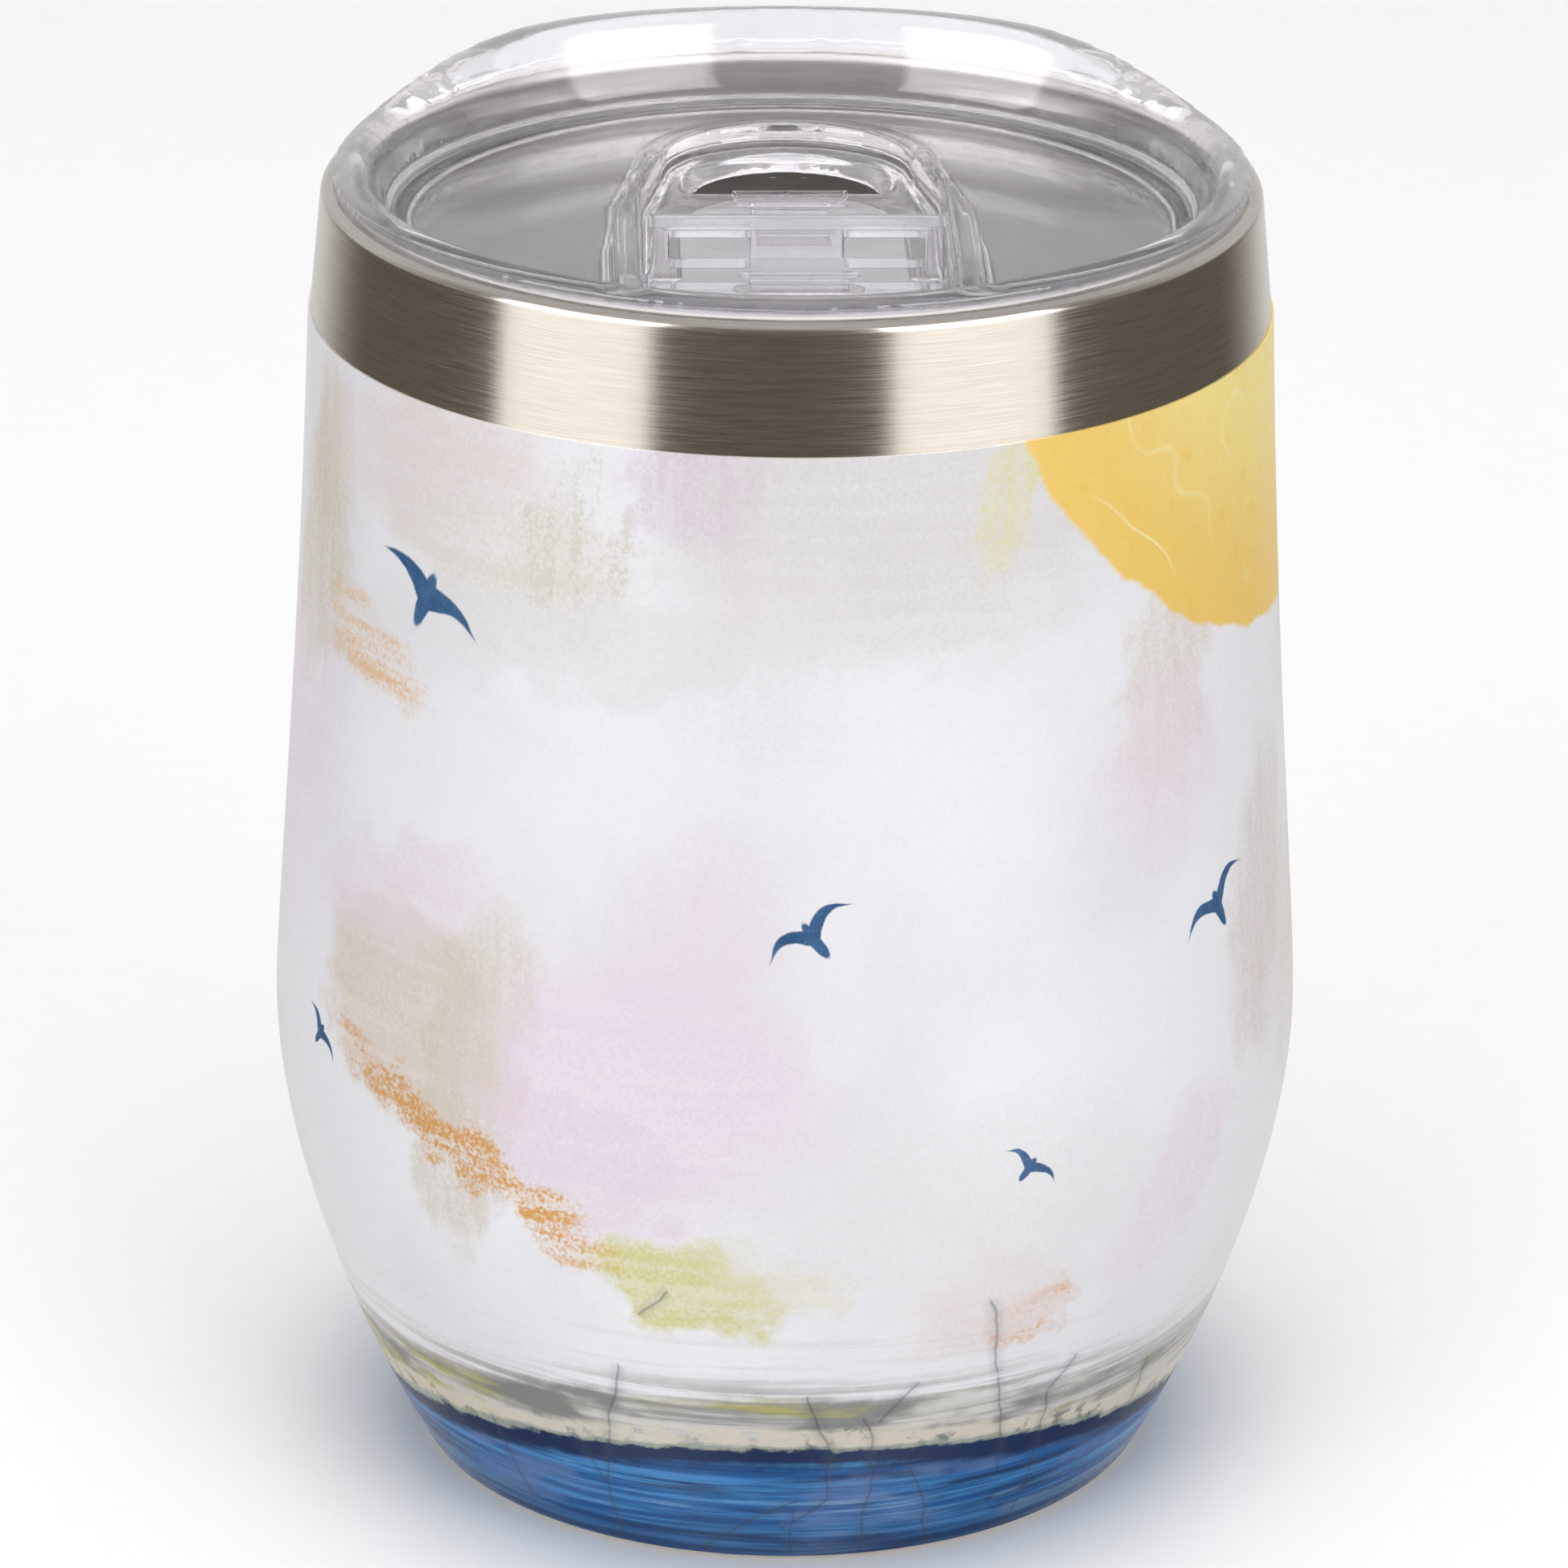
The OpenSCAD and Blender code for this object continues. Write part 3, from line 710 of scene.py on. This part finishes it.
PLATE = 107.4
tongue = [(9.5, -20)] + arc((0, 0.5), 9.5, 0, 180, 40) + [(-9.5, -20)]
slider = plate("clear_slider", [(x, y, PLATE) for x, y in tongue], (0, 0, 1.7))
base = [(-12, -25), (12, -25), (12, -13.2), (-12, -13.2)]
joined(slider, plate("base", [(x, y, PLATE) for x, y in base], (0, 0, 1.8)), "UNION")
cheek = [(-25, PLATE), (-13.2, PLATE), (-13.2, 113), (-17, 113), (-24.6, 109.6), (-25, 109.2)]
for left in (-12, 10.4):
    joined(slider, plate("cheek", [(left, y, z) for y, z in cheek], (1.6, 0, 0)), "UNION")
panel = [(-16.1, 108), (-16.1, 112.9)] + arc((-23.9, 113.4), 6.12, -4, -55, 14)
joined(slider, plate("panel", [(-11, y, z) for y, z in panel], (22, 0, 0)), "UNION")
ledge = [(-17.8, 111.8), (-13.2, 111.8), (-13.2, 113), (-17.8, 113)]
joined(slider, plate("ledge", [(-11, y, z) for y, z in ledge], (22, 0, 0)), "UNION")
web = [(-17, 108.5), (-13.2, 108.5), (-13.2, 112.4), (-17, 112.4)]
joined(slider, plate("web", [(-3.8, y, z) for y, z in web], (7.6, 0, 0)), "UNION")
grip = arc((4, -21.5), 1.1, -90, 90, 8) + arc((-4, -21.5), 1.1, 90, 270, 8)
joined(slider, plate("grip", [(x, y, 108.9) for x, y in grip], (0, 0, 1.5)), "UNION")
for side in (-1, 1):
    wing = [(side * 11.5, -24), (side * 13.05, -24), (side * 13.05, -18.5), (side * 11.5, -18.5)]
    joined(slider, plate("wing", [(x, y, 109.6) for x, y in wing], (0, 0, 1.1)), "UNION")
for half, front, back in ((4.7, 4.0, 6.2), (3.3, 0.8, 2.5)):
    pocket = [(-half, front), (half, front), (half, back), (-half, back)]
    joined(slider, plate("pocket", [(x, y, PLATE + 0.7) for x, y in pocket], (0, 0, 4)), "DIFFERENCE")
moulded(slider, 0.2, 6)
slider.data.materials.clear()
slider.data.materials.append(clear_plastic("slider_plastic", (243, 242, 246), 0.02, 0.86))
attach(slider, "closure")
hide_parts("slider")

# ---------------------------------------------------------------------------
# Table, studio and camera.
# ---------------------------------------------------------------------------

bpy.ops.object.select_all(action="DESELECT")
bpy.ops.mesh.primitive_plane_add(size=6, location=(0, 0, 0))
table_top = bpy.context.object
table_top.name = "table_top"
paper, tree, shader, place = material("pale_paper")
fleck = noise(tree, place, 300, 3, 0.5)
feed(tree, shader.inputs["Base Color"], blend_colour(tree, fleck, tint(250, 250, 250), tint(254, 254, 254)))
shader.inputs["Roughness"].default_value = 0.9
table_top.data.materials.append(paper)
table_top.visible_glossy = False
table_top.visible_transmission = False

world = bpy.data.worlds.new("studio")
world.use_nodes = True
world.cycles.sampling_method = "NONE"
bpy.context.scene.world = world
tree = world.node_tree
tree.nodes.clear()
output = tree.nodes.new("ShaderNodeOutputWorld")
sky = tree.nodes.new("ShaderNodeBackground")
tree.links.new(sky.outputs[0], output.inputs[0])
way = tree.nodes.new("ShaderNodeTexCoord").outputs["Generated"]
split = tree.nodes.new("ShaderNodeSeparateXYZ")
feed(tree, split.inputs[0], way)
round_way = work(tree, "ARCTAN2", split.outputs[0], work(tree, "MULTIPLY", split.outputs[1], -1.0))
from_front = work(tree, "ABSOLUTE", round_way)
rise = split.outputs[2]


def panel(left, right, soft):
    """A tall lit panel in the studio between two bearings in degrees, with soft sides."""
    near = spread(tree, round_way, math.radians(left - soft), math.radians(left + soft))
    far = spread(tree, round_way, math.radians(right + soft), math.radians(right - soft))
    return work(tree, "MULTIPLY", near, far)


panels = work(tree, "ADD", panel(-74, -34.5, 2.5), panel(22, 63, 2.5))
behind = spread(tree, from_front, math.radians(122), math.radians(160))
low_walls = blend_colour(tree, behind, (0.15, 0.13, 0.11, 1), (0.75, 0.73, 0.72, 1))
beside = spread(tree, from_front, math.radians(70), math.radians(130))
high_walls = blend_colour(tree, beside, (0.2, 0.18, 0.17, 1), (0.7, 0.69, 0.7, 1))
outside = blend_colour(tree, spread(tree, rise, -0.1, 0.1), low_walls, high_walls)
outside = blend_colour(tree, spread(tree, rise, 0.35, 0.8), outside, (0.62, 0.61, 0.62, 1))
glow = blend_colour(tree, spread(tree, rise, 0.02, 0.12), (1.5, 1.46, 1.4, 1), (7.5, 7.4, 7.3, 1))
outside = blend_colour(tree, work(tree, "MULTIPLY", panels, spread(tree, rise, 0.62, 0.5)), outside, glow)
inside = blend_colour(tree, spread(tree, rise, -0.1, 0.35), (0.75, 0.73, 0.73, 1), (1.6, 1.58, 1.6, 1))
inside = blend_colour(tree, panels, inside, (2.6, 2.55, 2.55, 1))
rays = tree.nodes.new("ShaderNodeLightPath")
through = work(tree, "GREATER_THAN", rays.outputs["Transmission Depth"], 0.5)
straight = work(tree, "MULTIPLY", through, work(tree, "LESS_THAN", rays.outputs["Glossy Depth"], 0.5))
seen = blend_colour(tree, through, outside, inside)
seen = blend_colour(tree, straight, seen, (0.93, 0.925, 0.94, 1))
seen = blend_colour(tree, rays.outputs["Is Diffuse Ray"], seen, (0.46, 0.46, 0.47, 1))
seen = blend_colour(tree, rays.outputs["Is Camera Ray"], seen, (1, 1, 1, 1))
feed(tree, sky.inputs[0], seen)

for name, place_at, size, power in (
    ("left_softbox", (-0.9, -1.3, 0.9), 1.0, 5.5),
    ("right_softbox", (0.9, -1.3, 0.9), 1.0, 5.5),
    ("top_softbox", (0, -0.1, 1.6), 1.4, 14),
):
    lamp = bpy.data.lights.new(name, "AREA")
    lamp.shape, lamp.size, lamp.energy = "SQUARE", size, power
    holder = bpy.data.objects.new(name, lamp)
    bpy.context.scene.collection.objects.link(holder)
    holder.location = place_at
    holder.rotation_euler = (Vector((0, 0, 0.06)) - Vector(place_at)).to_track_quat("-Z", "Y").to_euler()
    holder.visible_glossy = False
    holder.visible_transmission = False
    holder.visible_camera = False

PITCH, ROLL, TURN = math.radians(21.2335), math.radians(0.4796), math.radians(-1.7)
DISTANCE, AIM = 0.691246, Vector((-0.000787, 0, 0.059216))
eye = AIM + DISTANCE * Vector((0, -math.cos(PITCH), math.sin(PITCH)))
lens = bpy.data.cameras.new("camera")
lens.sensor_width, lens.lens = 36, 186.05
lens.shift_x, lens.shift_y = 0.004125, -0.008577
camera = bpy.data.objects.new("camera", lens)
bpy.context.scene.collection.objects.link(camera)
camera.matrix_world = (Matrix.Rotation(TURN, 4, "Z") @ Matrix.Translation(eye)
                       @ Matrix.Rotation(math.pi / 2 - PITCH, 4, "X") @ Matrix.Rotation(ROLL, 4, "Z"))
bpy.context.scene.camera = camera
bpy.context.scene.view_settings.view_transform = "Standard"
